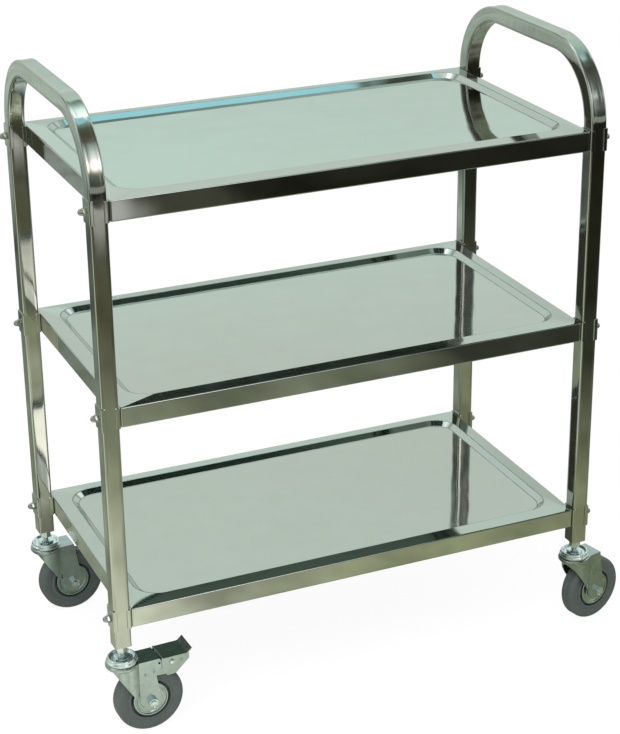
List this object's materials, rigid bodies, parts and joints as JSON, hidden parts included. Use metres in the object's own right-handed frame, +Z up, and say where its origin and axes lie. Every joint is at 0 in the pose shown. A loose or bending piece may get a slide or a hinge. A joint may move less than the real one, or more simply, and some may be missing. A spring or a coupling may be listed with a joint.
{
  "type": "stainless steel cart",
  "caption": "Stainless steel service cart: bent square-tube side frames with handles carry three flanged trays on swivel casters.",
  "frame": {"origin": "on the floor under the middle of the whole cart's plan, casters included", "axes": "+X along the trays towards the right-hand handle, +Y from the front long side to the back one, +Z up"},
  "size_m": [0.869, 0.4387, 0.941],
  "materials": {
    "frame_steel": "polished stainless tube, drawn lengthwise",
    "tray_steel": "bright polished stainless sheet, faintly wavy",
    "saddle_steel": "polished stainless sheet",
    "bolt_steel": "bright turned stainless",
    "insert_steel": "plain turned steel",
    "zinc_fasteners": "bright zinc plating over turned steel",
    "zinc_sheet": "bright zinc plating over pressed steel",
    "ball_steel": "hardened and polished balls",
    "hub_steel": "bright zinc plating over pressed steel",
    "bush_plastic": "moulded nylon",
    "tyre_rubber": "moulded grey rubber"
  },
  "bodies": {
    "cart": {"left_frame": "frame_steel", "right_frame": "frame_steel", "top_tray": "tray_steel", "middle_tray": "tray_steel", "bottom_tray": "tray_steel", "inner_saddles": "saddle_steel", "outer_saddles": "saddle_steel", "tray_bolts": "bolt_steel", "dome_nuts": "bolt_steel", "leg_inserts": "insert_steel", "stem_front_left": "zinc_fasteners", "stem_front_right": "zinc_fasteners", "stem_back_left": "zinc_fasteners", "stem_back_right": "zinc_fasteners", "swivel_caps": "zinc_sheet", "lower_cups": "zinc_sheet", "swivel_balls": "ball_steel", "head_nuts": "zinc_fasteners", "stem_nuts": "zinc_fasteners"},
    "swivel_front_left": {"fork_front_left": "zinc_sheet", "axle_bolt_front_left": "zinc_fasteners", "axle_nut_front_left": "zinc_fasteners", "axle_sleeve_front_left": "zinc_fasteners", "pedal_pin": "zinc_fasteners"},
    "wheel_front_left": {"hub_front_left": "hub_steel", "wheel_bushes_front_left": "bush_plastic", "tyre_front_left": "tyre_rubber"},
    "swivel_front_right": {"fork_front_right": "zinc_sheet", "axle_bolt_front_right": "zinc_fasteners", "axle_nut_front_right": "zinc_fasteners", "axle_sleeve_front_right": "zinc_fasteners"},
    "wheel_front_right": {"hub_front_right": "hub_steel", "wheel_bushes_front_right": "bush_plastic", "tyre_front_right": "tyre_rubber"},
    "swivel_back_left": {"fork_back_left": "zinc_sheet", "axle_bolt_back_left": "zinc_fasteners", "axle_nut_back_left": "zinc_fasteners", "axle_sleeve_back_left": "zinc_fasteners"},
    "wheel_back_left": {"hub_back_left": "hub_steel", "wheel_bushes_back_left": "bush_plastic", "tyre_back_left": "tyre_rubber"},
    "swivel_back_right": {"fork_back_right": "zinc_sheet", "axle_bolt_back_right": "zinc_fasteners", "axle_nut_back_right": "zinc_fasteners", "axle_sleeve_back_right": "zinc_fasteners"},
    "wheel_back_right": {"hub_back_right": "hub_steel", "wheel_bushes_back_right": "bush_plastic", "tyre_back_right": "tyre_rubber"},
    "pedal": {"brake_pedal": "zinc_sheet", "brake_shoe": "zinc_sheet"}
  },
  "joints": [
    {"name": "swivel_front_left", "type": "hinge", "parent": "cart", "child": "swivel_front_left", "pos_m": [-0.40949, -0.19407, 0.12], "axis": [0, 0, 1], "continuous": true},
    {"name": "roll_front_left", "type": "hinge", "parent": "swivel_front_left", "child": "wheel_front_left", "pos_m": [-0.37252, -0.19278, 0.052], "axis": [-0.0349, 0.9994, 0], "continuous": true},
    {"name": "swivel_front_right", "type": "hinge", "parent": "cart", "child": "swivel_front_right", "pos_m": [0.34551, -0.19407, 0.12], "axis": [0, 0, 1], "continuous": true},
    {"name": "roll_front_right", "type": "hinge", "parent": "swivel_front_right", "child": "wheel_front_right", "pos_m": [0.38156, -0.18574, 0.052], "axis": [-0.225, 0.9744, 0], "continuous": true},
    {"name": "swivel_back_left", "type": "hinge", "parent": "cart", "child": "swivel_back_left", "pos_m": [-0.40949, 0.19093, 0.12], "axis": [0, 0, 1], "continuous": true},
    {"name": "roll_back_left", "type": "hinge", "parent": "swivel_back_left", "child": "wheel_back_left", "pos_m": [-0.37254, 0.19287, 0.052], "axis": [-0.0523, 0.9986, 0], "continuous": true},
    {"name": "swivel_back_right", "type": "hinge", "parent": "cart", "child": "swivel_back_right", "pos_m": [0.34551, 0.19093, 0.12], "axis": [0, 0, 1], "continuous": true},
    {"name": "roll_back_right", "type": "hinge", "parent": "swivel_back_right", "child": "wheel_back_right", "pos_m": [0.38215, 0.19608, 0.052], "axis": [-0.1392, 0.9903, 0], "continuous": true},
    {"name": "brake_press", "type": "hinge", "parent": "swivel_front_left", "child": "pedal", "pos_m": [-0.33954, -0.19162, 0.111], "axis": [-0.0349, 0.9994, 0], "range_deg": [0, 10]}
  ]
}
